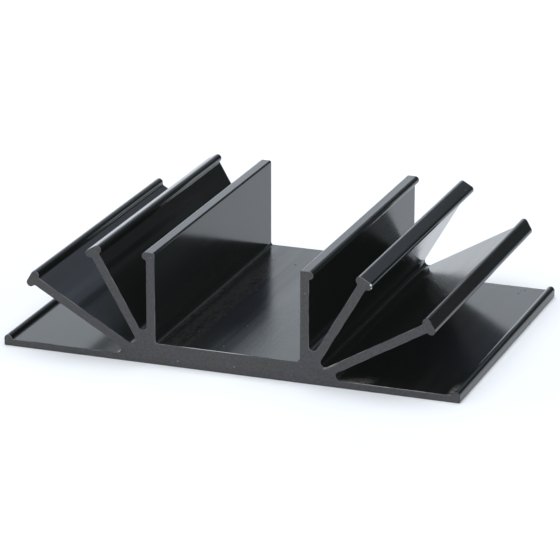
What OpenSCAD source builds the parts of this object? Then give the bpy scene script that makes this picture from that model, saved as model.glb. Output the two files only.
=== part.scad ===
// Extruded aluminium heat sink: one bar of constant section, sawn to length.
// A thick slab carries the device between two upright fins. On each side two more
// fins fan out of the same root, and thin flanges run out to a raised lip.
// Origin: middle of the underside. X runs across the fins, Y along the bar, Z up.

/* [Overall] */
// Length sawn from the bar
sink_l = 75; // [20:1:300]
// Width across the two flanges
base_w = 108.2; // [98:0.1:140]
// Height of the upright fins above the underside
sink_h = 26.2; // [20:0.1:40]

/* [Base] */
// Thickness of the slab between the upright fins
slab_t = 5; // [3:0.1:8]
// Thickness of each flange
flange_t = 1.65; // [1.2:0.05:2.5]
// Clear width of the channel between the upright fins
channel_w = 34.26; // [28:0.02:42]
// Radius of the blend where the slab meets an upright fin
channel_r = 0.6; // [0.2:0.05:2]
// Radius along the two lower edges of the base
base_edge_r = 0.35; // [0.1:0.05:0.8]

/* [Flange lip] */
// Width of the round-topped lip along the outer edge of each flange
lip_w = 1.9; // [1.4:0.1:3]
// How far the lip rises above the flange
lip_rise = 0.95; // [0.8:0.05:2]
// Radius of the blend at the foot of the lip
lip_foot_r = 0.4; // [0.1:0.05:0.8]

/* [Fins] */
// Thickness of every fin
fin_t = 2.05; // [1.5:0.05:3]
// Lean of the middle fins above the horizontal, in degrees
mid_lean = 60; // [54:1:66]
// Height at which the middle fin's centre line crosses the upright fin's
mid_root_z = 1.2; // [0:0.05:2.5]
// Length of a middle fin from that crossing to its tip
mid_l = 28.3; // [18:0.1:40]
// Lean of the low fins above the horizontal, in degrees
low_lean = 30; // [24:1:36]
// Height at which the low fin's centre line crosses the upright fin's
low_root_z = 0.25; // [0:0.05:1]
// Length of a low fin from that crossing to its tip
low_l = 33.95; // [22:0.05:40]
// Radius at the bottom of each gap beside a leaning fin
root_r = 1.05; // [0.5:0.05:1.5]

/* [Tip beads] */
// Thickness of the round bead along a fin's tip
bead_d = 1.9; // [1.4:0.1:3]
// How far a bead stands out from the side of its fin
bead_out = 1; // [0.6:0.05:1.8]
// Radius of the blend under a bead
bead_blend_r = 0.5; // [0.1:0.05:1]
// Radius of the plain upper edge of each upright fin
tip_r = 0.45; // [0.1:0.05:0.9]

/* [Hidden] */
$fn = 64;
upright_lean = 90;
base_edge_x = base_w / 2;
fin_x = (channel_w + fin_t) / 2;
lip_top_z = flange_t + lip_rise;
mid_root = [fin_x, mid_root_z];
low_root = [fin_x, low_root_z];
bead_axis = fin_t / 2 + bead_out - bead_d / 2;
// Sides of a leaning or upright fin, counted square to it
UPPER = 1;
LOWER = -1;
// Depth to which a blend is rooted in the metal beside it
sink_in = min(fin_t, flange_t) / 2;
// Overlap that lets each blend run cleanly into its neighbour
lap = 0.001;

// Unit vector along a line that leans by an angle
function along(lean) = [cos(lean), sin(lean)];

// Unit vector square to such a line, on its upper side
function above(lean) = [-sin(lean), cos(lean)];

// Point where the line through p at angle a crosses the line through q at angle b
function crossing(p, a, q, b) =
    p + along(a) * cross(q - p, along(b)) / cross(along(a), along(b));

// Point on one face of a fin that starts at root
function face_point(root, lean, side) = root + side * above(lean) * fin_t / 2;

// Metal that rounds out an inner corner at the origin, open towards +X and +Y
module corner_blend(r) {
    difference() {
        translate([-sink_in, -sink_in]) square(r + sink_in);
        translate([r, r]) circle(r = r + lap);
    }
}

// Cutter that rounds off an outer corner at the origin, with metal towards +X and +Y
module corner_cut(r) {
    difference() {
        translate([-lap, -lap]) square(r + lap);
        translate([r, r]) circle(r = r);
    }
}

// Metal at the bottom of a gap: the gap ends in an arc that touches both of its faces,
// the lower one through p at angle a and the upper one through q at angle b
module gap_bottom(p, a, q, b) {
    centre = crossing(p + above(a) * root_r, a, q - above(b) * root_r, b);
    heel = crossing(p - above(a) * sink_in, a, q + above(b) * sink_in, b);
    difference() {
        polygon([
            heel,
            centre - above(a) * (root_r + sink_in),
            centre,
            centre + above(b) * (root_r + sink_in)
        ]);
        translate(centre) circle(r = root_r + lap);
    }
}

// Round bead that stands on a flat face, with the blend at its foot towards -X
module bead(centre, d, face, blend_r) {
    across = max(0, face + blend_r - centre.y);
    back = sqrt(pow(d / 2 + blend_r, 2) - pow(across, 2));
    blend = [centre.x - back, face + blend_r];
    translate(centre) circle(d = d);
    translate([centre.x - d / 2, 0]) square([d, centre.y]);
    difference() {
        polygon([
            [centre.x, min(centre.y, blend.y)],
            blend,
            [blend.x, 0],
            [centre.x, 0]
        ]);
        translate(blend) circle(r = blend_r + lap);
    }
}

// Bead above the tip of a fin that lies along +X
module tip_bead(fin_l) {
    bead([fin_l - bead_d / 2, bead_axis], bead_d, fin_t / 2, bead_blend_r);
}

// Plain fin along +X from the origin
module blade(fin_l) {
    translate([0, -fin_t / 2]) square([fin_l, fin_t]);
}

// Fin along +X from the origin, with a bead on both sides of its tip
module leaning_fin(fin_l) {
    blade(fin_l);
    tip_bead(fin_l);
    mirror([0, 1]) tip_bead(fin_l);
}

// The upright fin has its bead on the outer side only
module upright_fin() {
    difference() {
        translate([fin_x, 0]) rotate(upright_lean) {
            blade(sink_h);
            mirror([0, 1]) tip_bead(sink_h);
        }
        translate([channel_w / 2, sink_h]) mirror([0, 1]) corner_cut(tip_r);
    }
}

module mid_fin() {
    translate(mid_root) rotate(mid_lean) leaning_fin(mid_l);
}

module low_fin() {
    translate(low_root) rotate(low_lean) leaning_fin(low_l);
}

// Arcs at the bottom of the three gaps that the leaning fins make
module gap_bottoms() {
    mid_upper = face_point(mid_root, mid_lean, UPPER);
    mid_lower = face_point(mid_root, mid_lean, LOWER);
    low_upper = face_point(low_root, low_lean, UPPER);
    low_lower = face_point(low_root, low_lean, LOWER);
    upright_outer = face_point([fin_x, 0], upright_lean, LOWER);
    gap_bottom(mid_upper, mid_lean, upright_outer, upright_lean);
    gap_bottom(low_upper, low_lean, mid_lower, mid_lean);
    gap_bottom([fin_x, flange_t], 0, low_lower, low_lean);
}

// Lip along the outer edge of a flange, with a half-round top
module flange_lip() {
    bead([base_edge_x - lip_w / 2, lip_top_z - lip_w / 2], lip_w, flange_t, lip_foot_r);
}

// Children as they stand, and again as seen in a mirror across the middle
module both_sides() {
    children();
    mirror([1, 0]) children();
}

// Everything on the right of the middle, apart from the base
module wing() {
    upright_fin();
    mid_fin();
    low_fin();
    gap_bottoms();
    flange_lip();
    translate([channel_w / 2, slab_t]) mirror([1, 0]) corner_blend(channel_r);
}

// Whole section of the bar, with the underside along the X axis
module section() {
    difference() {
        union() {
            translate([-base_edge_x, 0]) square([base_w, flange_t]);
            translate([-fin_x, 0]) square([2 * fin_x, slab_t]);
            both_sides() wing();
        }
        // The square roots of the leaning fins would come out below the base
        translate([-base_edge_x, -sink_h]) square([base_w, sink_h]);
        both_sides() translate([-base_edge_x, 0]) corner_cut(base_edge_r);
    }
}

module heat_sink() {
    color([0.1, 0.1, 0.11])
        rotate([90, 0, 0])
            linear_extrude(height = sink_l, center = true)
                section();
}

heat_sink();
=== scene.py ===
import math

import bpy
from mathutils import Matrix, Vector


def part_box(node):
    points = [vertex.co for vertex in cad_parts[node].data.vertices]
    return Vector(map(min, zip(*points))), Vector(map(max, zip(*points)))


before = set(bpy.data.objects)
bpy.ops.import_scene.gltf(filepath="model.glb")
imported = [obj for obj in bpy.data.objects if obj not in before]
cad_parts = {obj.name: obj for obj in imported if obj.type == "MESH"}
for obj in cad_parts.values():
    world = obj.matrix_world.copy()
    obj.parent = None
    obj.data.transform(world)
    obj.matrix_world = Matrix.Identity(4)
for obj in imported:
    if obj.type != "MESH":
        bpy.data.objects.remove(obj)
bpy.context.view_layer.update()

# The look of a black anodised heat sink extrusion: glossy along the bar, matt on the sawn ends,
# standing on a pale floor under large soft lights. Blender's own lengths are metres. Places and
# sizes on the bar are in mm from the middle of its underside, with X across it, Y along it, Z up.

MM = 0.001
NODE = "heat_sink"
low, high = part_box(NODE)

# ---------------------------------------------------------------- the bar, in mm
NEAR_END = low.y / MM
RIGHT_EDGE = high.x / MM
FLANGE_TOP = 1.65
SLAB_TOP = 5.0
FIN_TOP = 26.2
# The upper face of the right low fin passes through this point and leans by this angle
LOW_FACE_X = 17.64
LOW_FACE_Z = 1.14
LOW_LEAN = math.radians(30)
# The saw breaks every edge of the two ends by this much. No other edge is sharper than the angle.
SAW_BREAK = 0.09
SAW_BREAK_ANGLE = math.radians(60)
# Vertices closer than this are one
WELD_GAP = 0.001

# Small marks: the middle and the radius of each
SPECKS_AND_GLINTS = (
    ((-2.15, -33.84, SLAB_TOP), 0.16),
    ((-8.62, 4.57, SLAB_TOP), 0.14),
    ((-1.91, -19.59, SLAB_TOP), 0.13),
    ((-10.79, -26.71, SLAB_TOP), 0.13),
    ((46.97, 8.78, 18.24), 0.12),
    ((32.9, 33.48, 25.36), 0.12),
    ((18.33, NEAR_END, 21.05), 0.15),
    # These two are painted glints at the near end of the left low fin's tip
    ((-46.5, NEAR_END, 18.45), 0.15),
    ((-47.0, NEAR_END, 18.15), 0.12),
    ((-11.7, NEAR_END, 1.5), 0.18),
    ((1.7, NEAR_END, 1.8), 0.18),
)
# Nicks of bare metal on the near end, painted near white as the glints on them
GLINTING_NICKS = (
    ((33.45, NEAR_END, 24.75), 0.32),
    ((33.6, NEAR_END, 24.0), 0.22),
)
DARK_PITS = (
    ((46.7, 32.5, FLANGE_TOP), 0.32),
    ((46.74, 34.4, FLANGE_TOP), 0.26),
    ((47.5, 35.1, FLANGE_TOP), 0.3),
    ((-6.5, 25.1, SLAB_TOP), 0.3),
)

# ---------------------------------------------------------------- colours and surfaces
FILM = (0.0038, 0.0042, 0.0038, 1)
FILM_STREAK = (0.0105, 0.0110, 0.0118, 1)
# Painted bluish sheen on the flanges, standing in for a broad reflection of the backdrop
FLANGE_PAINTED_SHEEN = (0.0052, 0.0060, 0.0108, 1)
# Painted bluish sheen on a strip of the channel, standing in for a broad reflection of the backdrop
CHANNEL_PAINTED_SHEEN = (0.0058, 0.0064, 0.0100, 1)
HAZE = (0.0510, 0.0550, 0.0590, 1)
# Painted bluish sheen on the upper face of the left low fin, standing in for a broad reflection of the
# backdrop
PAINTED_SHEEN = (0.0210, 0.0233, 0.0295, 1)
DUST = (0.0195, 0.0155, 0.0135, 1)
DUST_SPECK = (0.12, 0.12, 0.12, 1)
SCUFF = (0.135, 0.122, 0.112, 1)
PIT = (0.003, 0.003, 0.003, 1)
# Wear along the saw's break, laid on lighter so that it is also a painted edge highlight
WORN_EDGE_AND_HIGHLIGHT = (0.20, 0.20, 0.21, 1)
# Painted highlight where the saw's break glints
PAINTED_EDGE_HIGHLIGHT = (0.50, 0.50, 0.50, 1)
# The sawn metal at its darkest and at its palest
COOL_SAWN = ((0.061, 0.056, 0.059, 1), (0.098, 0.090, 0.097, 1))
WARM_SAWN = ((0.0585, 0.056, 0.053, 1), (0.094, 0.090, 0.0835, 1))
SAWN_SPECK = (0.35, 0.35, 0.36, 1)
# The saw's burr, painted pale as the highlight along it
BURR_AND_HIGHLIGHT = (0.36, 0.36, 0.30, 1)
# Pale specks, and the painted glints among them
SPECK_AND_GLINT_COLOUR = (0.30, 0.31, 0.32, 1)
# Near white of the nicks, a painted glint
PAINTED_NICK_GLINT = (0.80, 0.81, 0.83, 1)
# The dyed oxide film mirrors blue a little more than red
MIRROR_TINT = (0.82, 0.95, 1.0, 1)
FILM_IOR = 1.365

FLOOR_SIZE = 8.0
FLOOR_COLOUR = (0.94, 0.93, 0.92, 1)
FLOOR_ROUGHNESS = 0.9

# ---------------------------------------------------------------- camera and lights
# Angles are in degrees, and the lens and the width of the sensor are in mm
CAMERA_AZIMUTH = 20.058
CAMERA_ELEVATION = 18.924
CAMERA_ROLL = 0.055
CAMERA_DISTANCE = 0.8031
CAMERA_LENS = 224.83
CAMERA_SENSOR = 36
CAMERA_NEAREST = 0.01
CAMERA_AIM = Vector((0.12, -3.60, 11.10)) * MM

DAYLIGHT = (0.94, 1.0, 1.075)
SKY_BLUE = (0.92, 0.98, 1.18)
ROOM_GLOW = 0.03
# The glare of the pale room in a lens lifts the black end of red, green and blue by this
LENS_GLARE = (0.0040, 0.0047, 0.0044)

# Each light's azimuth, elevation, distance, width, height, radiance and tint. The backdrop
# stands behind and to the left, and it is much brighter below 23 degrees than above.
LIGHTS = {
    "backdrop_light": (204, 11.5, 1.7, 2.56, 0.70, 1.42, DAYLIGHT),
    "backdrop_fade": (213, 24.7, 1.7, 1.4, 0.10, 0.45, DAYLIGHT),
    "upper_glow": (197, 33.0, 1.7, 1.9, 0.42, 0.39, SKY_BLUE),
    "far_right_glow": (155, 8.0, 1.7, 0.9, 0.45, 0.05, DAYLIGHT),
    "front_light": (10, 30, 1.6, 1.4, 0.9, 0.8, DAYLIGHT),
    "left_light": (285, 25, 1.6, 2.2, 1.0, 0.8, DAYLIGHT),
    "right_light": (75, 25, 1.6, 2.2, 1.0, 0.8, DAYLIGHT),
    "overhead_light": (0, 89.9, 1.5, 2.2, 2.2, 2.22, DAYLIGHT),
}


def polar(azimuth, elevation):
    """Unit vector towards a place round the object, in degrees; azimuth 0 is in front, at -Y."""
    turn = math.radians(azimuth)
    rise = math.radians(elevation)
    return Vector((math.sin(turn) * math.cos(rise), -math.cos(turn) * math.cos(rise), math.sin(rise)))


def aim(thing, target, roll=0.0):
    """Turns a camera or a light so that its -Z axis points at target, with +Y up but for the roll."""
    look = (Vector(target) - thing.location).to_track_quat("-Z", "Y")
    rolled = look.to_matrix() @ Matrix.Rotation(math.radians(roll), 3, "Z")
    thing.rotation_euler = rolled.to_euler()


def put_in_scene(name, data):
    """New object that shows the data."""
    thing = bpy.data.objects.new(name, data)
    bpy.context.scene.collection.objects.link(thing)
    return thing


def make_camera():
    data = bpy.data.cameras.new("camera")
    data.sensor_width = CAMERA_SENSOR
    data.lens = CAMERA_LENS
    data.clip_start = CAMERA_NEAREST
    camera = put_in_scene("camera", data)
    camera.location = CAMERA_AIM + CAMERA_DISTANCE * polar(CAMERA_AZIMUTH, CAMERA_ELEVATION)
    aim(camera, CAMERA_AIM, CAMERA_ROLL)
    bpy.context.scene.camera = camera


def pale_floor():
    material = bpy.data.materials.new("pale_floor")
    material.use_nodes = True
    shader = material.node_tree.nodes["Principled BSDF"]
    shader.inputs["Base Color"].default_value = FLOOR_COLOUR
    shader.inputs["Roughness"].default_value = FLOOR_ROUGHNESS
    shader.inputs["Specular IOR Level"].default_value = 0.0
    return material


def make_floor():
    half = FLOOR_SIZE / 2
    corners = [(-half, -half, 0), (half, -half, 0), (half, half, 0), (-half, half, 0)]
    mesh = bpy.data.meshes.new("floor")
    mesh.from_pydata(corners, [], [(0, 1, 2, 3)])
    mesh.materials.append(pale_floor())
    floor = put_in_scene("floor", mesh)
    floor.location.z = low.z


def softbox(name, azimuth, elevation, distance, width, height, radiance, tint):
    """A large flat light facing the object; radiance is its brightness as the camera would see it."""
    data = bpy.data.lights.new(name, "AREA")
    data.shape = "RECTANGLE"
    data.size = width
    data.size_y = height
    data.energy = radiance * math.pi * width * height
    data.color = tint
    light = put_in_scene(name, data)
    light.location = distance * polar(azimuth, elevation)
    light.visible_camera = False
    aim(light, (0, 0, 0))


def make_lights():
    room = bpy.data.worlds.new("studio")
    room.use_nodes = True
    glow = room.node_tree.nodes["Background"]
    glow.inputs["Color"].default_value = (*DAYLIGHT, 1)
    glow.inputs["Strength"].default_value = ROOM_GLOW
    bpy.context.scene.world = room
    for name, values in LIGHTS.items():
        softbox(name, *values)


def set_camera_response():
    """A plain transfer, lifted a little at the black end."""
    view = bpy.context.scene.view_settings
    view.view_transform = "Standard"
    view.use_curve_mapping = True
    view.curve_mapping.black_level = [-glare for glare in LENS_GLARE]
    view.curve_mapping.update()


# ---------------------------------------------------------------- node helpers
class Field:
    """One output of a node, such as a value that varies over the surface. Arithmetic on it adds
    the nodes that work it out."""

    def __init__(self, graph, socket):
        self.graph = graph
        self.socket = socket

    def __add__(self, other):
        return self.graph.math("ADD", self, other)

    def __radd__(self, other):
        return self.graph.math("ADD", other, self)

    def __sub__(self, other):
        return self.graph.math("SUBTRACT", self, other)

    def __rsub__(self, other):
        return self.graph.math("SUBTRACT", other, self)

    def __mul__(self, other):
        return self.graph.math("MULTIPLY", self, other)

    def __abs__(self):
        return self.graph.math("ABSOLUTE", self, 0.0)

    def greater(self, other):
        return self.graph.math("MAXIMUM", self, other)

    def lesser(self, other):
        return self.graph.math("MINIMUM", self, other)

    def step(self, start, end, first=0.0, last=1.0):
        """Smooth step: first up to where the value is start, and last from where it is end.
        Start may be above end."""
        inputs = {"Value": self, "From Min": start, "From Max": end, "To Min": first, "To Max": last}
        return self.graph.output("ShaderNodeMapRange", "Result", inputs, interpolation_type="SMOOTHSTEP")

    def band(self, start, full, fading, end):
        """1 where the value is from full to fading, and 0 before start and after end."""
        return self.step(start, full) * self.step(end, fading)

    def lay(self, under, over):
        """Colour over laid on colour under, as much as this mask says."""
        return self.graph.output("ShaderNodeMix", 2, {0: self, 6: under, 7: over}, data_type="RGBA")

    def blend(self, first, last):
        """Vector first where this mask is 0, and vector last where it is 1."""
        return self.graph.output("ShaderNodeMix", 1, {0: self, 4: first, 5: last}, data_type="VECTOR")


class Graph:
    """Short calls that add nodes to a material and join them."""

    def __init__(self, tree):
        self.tree = tree
        tree.nodes.clear()

    def node(self, kind, inputs, **settings):
        """New node with these settings. Each input is a Field, or a value that is the same all over.
        It goes by its name, or by its number where several share one name."""
        node = self.tree.nodes.new(kind)
        for name, value in settings.items():
            setattr(node, name, value)
        for name, value in inputs.items():
            if isinstance(value, Field):
                self.tree.links.new(value.socket, node.inputs[name])
            else:
                node.inputs[name].default_value = value
        return node

    def output(self, kind, output, inputs, **settings):
        """One output of such a new node, by its name or its number."""
        return Field(self, self.node(kind, inputs, **settings).outputs[output])

    def math(self, operation, first, second):
        return self.output("ShaderNodeMath", 0, {0: first, 1: second}, operation=operation)

    def scaled(self, vector, factors):
        return self.output("ShaderNodeVectorMath", 0, {0: vector, 1: factors}, operation="MULTIPLY")

    def distance(self, first, second):
        return self.output("ShaderNodeVectorMath", "Value", {0: first, 1: second}, operation="DISTANCE")

    def split(self, vector):
        """The X, Y and Z of a vector."""
        return [Field(self, part) for part in self.node("ShaderNodeSeparateXYZ", {0: vector}).outputs]

    def bump(self, height, strength, depth):
        """Normal of a surface with relief too fine to model; depth is in mm."""
        inputs = {"Height": height, "Strength": strength, "Distance": depth * MM}
        return self.output("ShaderNodeBump", "Normal", inputs)


# ---------------------------------------------------------------- anodised finish
class Surface:
    """What the finish reads at each point of the bar: its place, its facing, the part of the bar
    that it is on, and noise."""

    def __init__(self, graph):
        self.graph = graph
        self.place = graph.output("ShaderNodeTexCoord", "Object", {})
        self.place_mm = graph.scaled(self.place, (1 / MM, 1 / MM, 1 / MM))
        self.x, self.y, self.z = graph.split(self.place_mm)
        facing = graph.output("ShaderNodeNewGeometry", "Normal", {})
        self.facing_x, facing_y, self.facing_z = graph.split(facing)

        # The sawn ends, the break along their edges, the level faces, and the channel's floor
        end_on = abs(facing_y)
        self.sawn = end_on.step(0.8, 0.95)
        self.edge = end_on.step(0.2, 0.5) * (1.0 - self.sawn)
        self.level = self.facing_z.step(0.93, 0.99)
        slab = self.z.band(SLAB_TOP - 0.6, SLAB_TOP - 0.2, SLAB_TOP + 0.4, SLAB_TOP + 1.0)
        self.in_channel = self.level * slab

        # The die's lines run the whole bar, so their noise is drawn out along it
        self.lines = self.noise(2200.0, detail=3.0, roughness=0.6, along=0.008)
        self.streaks = self.noise(420.0, detail=3.0, roughness=0.55, along=0.03)
        self.columns = self.noise(520.0, detail=2.0, roughness=0.5, along=0.006)
        # The rest has no direction
        self.grain = self.noise(5200.0, detail=2.0, roughness=0.7)
        self.patches = self.noise(260.0, detail=3.0, roughness=0.6)
        self.specks = self.cells(420.0).step(0.075, 0.045)

    def noise(self, scale, detail, roughness, across=1.0, along=1.0):
        """Noise with this many cells to the metre, times across in X and along in Y."""
        place = self.graph.scaled(self.place, (across, along, 1.0))
        inputs = {"Vector": place, "Scale": scale, "Detail": detail, "Roughness": roughness}
        return self.graph.output("ShaderNodeTexNoise", "Fac", inputs)

    def cells(self, scale):
        """Distance from the nearest cell's middle, as a share of a cell, with this many to the metre."""
        inputs = {"Vector": self.place, "Scale": scale}
        return self.graph.output("ShaderNodeTexVoronoi", "Distance", inputs)

    def spots(self, marks):
        """Mask of small round marks, soft at the rim."""
        total = 0.0
        for middle, radius in marks:
            total = total + self.graph.distance(self.place_mm, middle).step(radius, 0.5 * radius)
        return total.lesser(1.0)


def paint(base, layers):
    """The base colour, with each layer laid over the ones before it where its mask says."""
    for mask, colour in layers:
        base = mask.lay(base, colour)
    return base


def dust_mask(bar):
    """Dust in the channel by the left upright fin, thinner to the right and towards the far end."""
    smear = bar.noise(1500.0, detail=5.0, roughness=0.8, along=0.3)
    ragged = smear.step(0.35, 0.68) * bar.columns.step(0.35, 0.6, first=0.45)
    by_fin = bar.x.step(-6.5, -13.0, first=0.06)
    near_half = bar.y.step(30.0, -5.0, first=0.2)
    return bar.in_channel * by_fin * near_half * ragged


def scuff_mask(bar):
    """Pale scuffs near the front: at the root of the right flange, and inside its lip."""
    # The one at the root reaches further in, the further out it is
    inwards = bar.y - bar.x * 0.42
    root = bar.x.band(24.5, 28.5, 32.0, 35.0) * inwards.step(-45.0, -48.2)
    by_lip = bar.x.band(RIGHT_EDGE - 3.5, RIGHT_EDGE - 2.5, RIGHT_EDGE - 1.4, RIGHT_EDGE - 0.8)
    lip = by_lip * bar.y.step(-28.0, -36.5)
    ragged = bar.noise(1500.0, detail=3.0, roughness=0.65, across=0.35).step(0.32, 0.56)
    below_fins = bar.z.step(3.2, 2.6)
    return root.greater(lip) * ragged * below_fins


def haze_mask(bar):
    """Haze in the channel from the middle to the right, and on the tops of the upright fins."""
    # It starts a little further to the left, the further it is from the near end
    across = bar.x + (bar.y - NEAR_END) * 0.08
    ragged = bar.columns.step(0.38, 0.62, first=0.62) * bar.lines.step(0.38, 0.62, first=0.7)
    channel = bar.in_channel * across.step(-7.5, 1.0) * ragged
    fin_tops = bar.level * bar.z.step(FIN_TOP - 0.7, FIN_TOP - 0.2)
    return channel.greater(fin_tops * 0.5)


def painted_sheen_mask(bar):
    """Painted bluish sheen on the upper face of the left low fin, standing in for a broad reflection of
    the backdrop; it fades towards the fin's root and its tip.
    """
    # That face looks up and to the right, by this much
    tilt = math.sin(LOW_LEAN)
    rightwards = bar.facing_x.band(tilt - 0.08, tilt - 0.02, tilt + 0.02, tilt + 0.08)
    upper_face = rightwards * bar.facing_z.step(0.8, 0.85)
    middle = bar.x.step(-22.0, -34.0) * bar.x.step(-43.0, -37.0, first=0.45)
    return upper_face * middle * bar.streaks.step(0.32, 0.62, first=0.55)


def flange_sheen_mask(bar):
    """Painted bluish sheen on both flanges, away from the near end, standing in for a broad reflection
    of the backdrop.
    """
    below_slab_top = bar.z.step(4.0, 2.0)
    away = bar.y.step(-30.0, -8.0)
    return bar.level * below_slab_top * away


def channel_sheen_mask(bar):
    """Painted bluish sheen on a strip of the channel between the dust and the haze, away from the near
    end, standing in for a broad reflection of the backdrop.
    """
    strip = bar.x.band(-11.0, -8.0, -4.0, 0.0)
    away = bar.y.step(-36.0, -14.0)
    return bar.in_channel * strip * away


def edge_highlight_mask(bar):
    """Painted highlight on the saw's break where it glints brightest: at the channel, and on top of the
    right flange.
    """
    channel = bar.x.band(-11.5, -8.0, 1.0, 6.0) * bar.z.step(SLAB_TOP - 0.3, SLAB_TOP - 0.15)
    top = bar.z.band(FLANGE_TOP - 0.25, FLANGE_TOP - 0.15, FLANGE_TOP + 0.1, FLANGE_TOP + 0.25)
    ragged = bar.patches.step(0.4, 0.6, first=0.2, last=0.8)
    flange = bar.x.band(27.0, 30.0, 44.0, 50.0) * top * ragged
    return bar.edge * channel.greater(flange)


def burr_and_highlight_mask(bar):
    """The ragged edge that the saw left on the near end, at the root of the right low fin, painted pale
    as the highlight along it.
    """
    x = bar.x - LOW_FACE_X
    z = bar.z - LOW_FACE_Z
    along = x * math.cos(LOW_LEAN) + z * math.sin(LOW_LEAN)
    above = z * math.cos(LOW_LEAN) - x * math.sin(LOW_LEAN)
    strip = above.band(-0.42, -0.16, 0.1, 0.2) * along.band(5.4, 6.2, 7.6, 10.0)
    near = bar.y.step(NEAR_END + 0.3, NEAR_END + 0.1)
    ragged = bar.patches.step(0.35, 0.55, first=0.3)
    return strip * near * ragged


def film_colour(bar, dust, scuff, pits):
    """The black film, with its streaks, haze, dust and wear, and with painted bluish sheens and painted
    edge highlights.
    """
    # Faces that aren't level show only an eighth of the streaks
    streaks = bar.streaks.step(0.38, 0.62) * bar.level.greater(0.12)
    return paint(FILM, (
        (streaks, FILM_STREAK),
        # Painted bluish sheen on the flanges
        (flange_sheen_mask(bar), FLANGE_PAINTED_SHEEN),
        (haze_mask(bar), HAZE),
        # Painted bluish sheen on the upper face of the left low fin
        (painted_sheen_mask(bar), PAINTED_SHEEN),
        # Painted bluish sheen on a strip of the channel
        (channel_sheen_mask(bar), CHANNEL_PAINTED_SHEEN),
        (dust, DUST),
        (scuff, SCUFF),
        (bar.specks * (dust + 0.15), DUST_SPECK),
        (pits, PIT),
        # Wear along the saw's break in random patches, which also serves as a painted edge highlight
        (bar.edge * bar.patches.step(0.35, 0.65, first=0.2), WORN_EDGE_AND_HIGHLIGHT),
        # Painted highlight on the saw's break
        (edge_highlight_mask(bar), PAINTED_EDGE_HIGHLIGHT),
    ))


def sawn_colour(bar):
    """Mottled grey of the sawn ends, in cooler and warmer patches."""
    mottle = bar.noise(2300.0, detail=4.0, roughness=0.75).step(0.3, 0.7)
    cool = mottle.lay(*COOL_SAWN)
    warm = mottle.lay(*WARM_SAWN)
    grey = bar.patches.step(0.42, 0.62).lay(cool, warm)
    return (bar.specks * 0.35).lay(grey, SAWN_SPECK)


def film_roughness(bar, dust, scuff, pits):
    """The film is glossy, and a little less so on the level faces, the channel's floor above all."""
    clouds = bar.noise(60.0, detail=3.0, roughness=0.5)
    film = (bar.streaks + clouds).step(0.7, 1.3, first=0.125, last=0.15)
    # The flanges show only a fifth of the die's lines
    raised = bar.z.step(2.0, 4.0, first=0.2)
    level = bar.level * raised * bar.lines.step(0.3, 0.7, first=0.02, last=0.05)
    channel = bar.in_channel * bar.columns.step(0.35, 0.65, first=0.01, last=0.055)
    # The rail along the tip of the left low fin and the lip below it are rubbed duller
    rubbed = bar.x.step(-45.3, -45.9) * bar.z.step(FLANGE_TOP + 0.01, FLANGE_TOP + 0.05)
    worn = (dust + scuff) * 0.25 + pits * 0.5 + rubbed * 0.08
    return film + level + channel + worn


def relief(bar):
    """The die's lines in the film, and the saw's grain on the ends."""
    die_lines = bar.graph.bump(bar.streaks, strength=0.03, depth=0.02)
    saw_grain = bar.graph.bump(bar.grain, strength=0.5, depth=0.03)
    return bar.sawn.blend(die_lines, saw_grain)


def black_anodised():
    """Glossy black film over the bar, and duller grey metal where the saw cut it."""
    material = bpy.data.materials.new("black_anodised")
    material.use_nodes = True
    graph = Graph(material.node_tree)
    bar = Surface(graph)
    dust = dust_mask(bar)
    scuff = scuff_mask(bar)
    pits = bar.spots(DARK_PITS)
    colour = paint(film_colour(bar, dust, scuff, pits), (
        (bar.sawn, sawn_colour(bar)),
        # The burr, painted pale as its highlight
        (burr_and_highlight_mask(bar), BURR_AND_HIGHLIGHT),
        # Pale specks, two of them painted glints
        (bar.spots(SPECKS_AND_GLINTS), SPECK_AND_GLINT_COLOUR),
        # Nicks painted near white as their glints
        (bar.spots(GLINTING_NICKS), PAINTED_NICK_GLINT),
    ))
    matt = bar.grain.step(0.3, 0.7, first=0.55, last=0.7)
    dull = bar.sawn.greater(bar.edge)
    roughness = film_roughness(bar, dust, scuff, pits) * (1.0 - dull) + matt * dull
    shader = graph.output("ShaderNodeBsdfPrincipled", "BSDF", {
        "Base Color": colour,
        "Roughness": roughness,
        "IOR": FILM_IOR,
        "Specular Tint": MIRROR_TINT,
        "Normal": relief(bar),
    })
    graph.node("ShaderNodeOutputMaterial", {"Surface": shader})
    return material


def dress_sink():
    """Gives the CAD solid its finish and the break along its sawn edges."""
    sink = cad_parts[NODE]
    sink.material_slots[0].material = black_anodised()
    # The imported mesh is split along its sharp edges, and they are joined before they are bevelled
    sink.modifiers.new("weld", "WELD").merge_threshold = WELD_GAP * MM
    bevel = sink.modifiers.new("saw_break", "BEVEL")
    bevel.width = SAW_BREAK * MM
    bevel.segments = 1
    bevel.limit_method = "ANGLE"
    bevel.angle_limit = SAW_BREAK_ANGLE
    bevel.use_clamp_overlap = False
    sink.modifiers.new("even_shading", "WEIGHTED_NORMAL").keep_sharp = True


make_camera()
make_floor()
make_lights()
dress_sink()
set_camera_response()
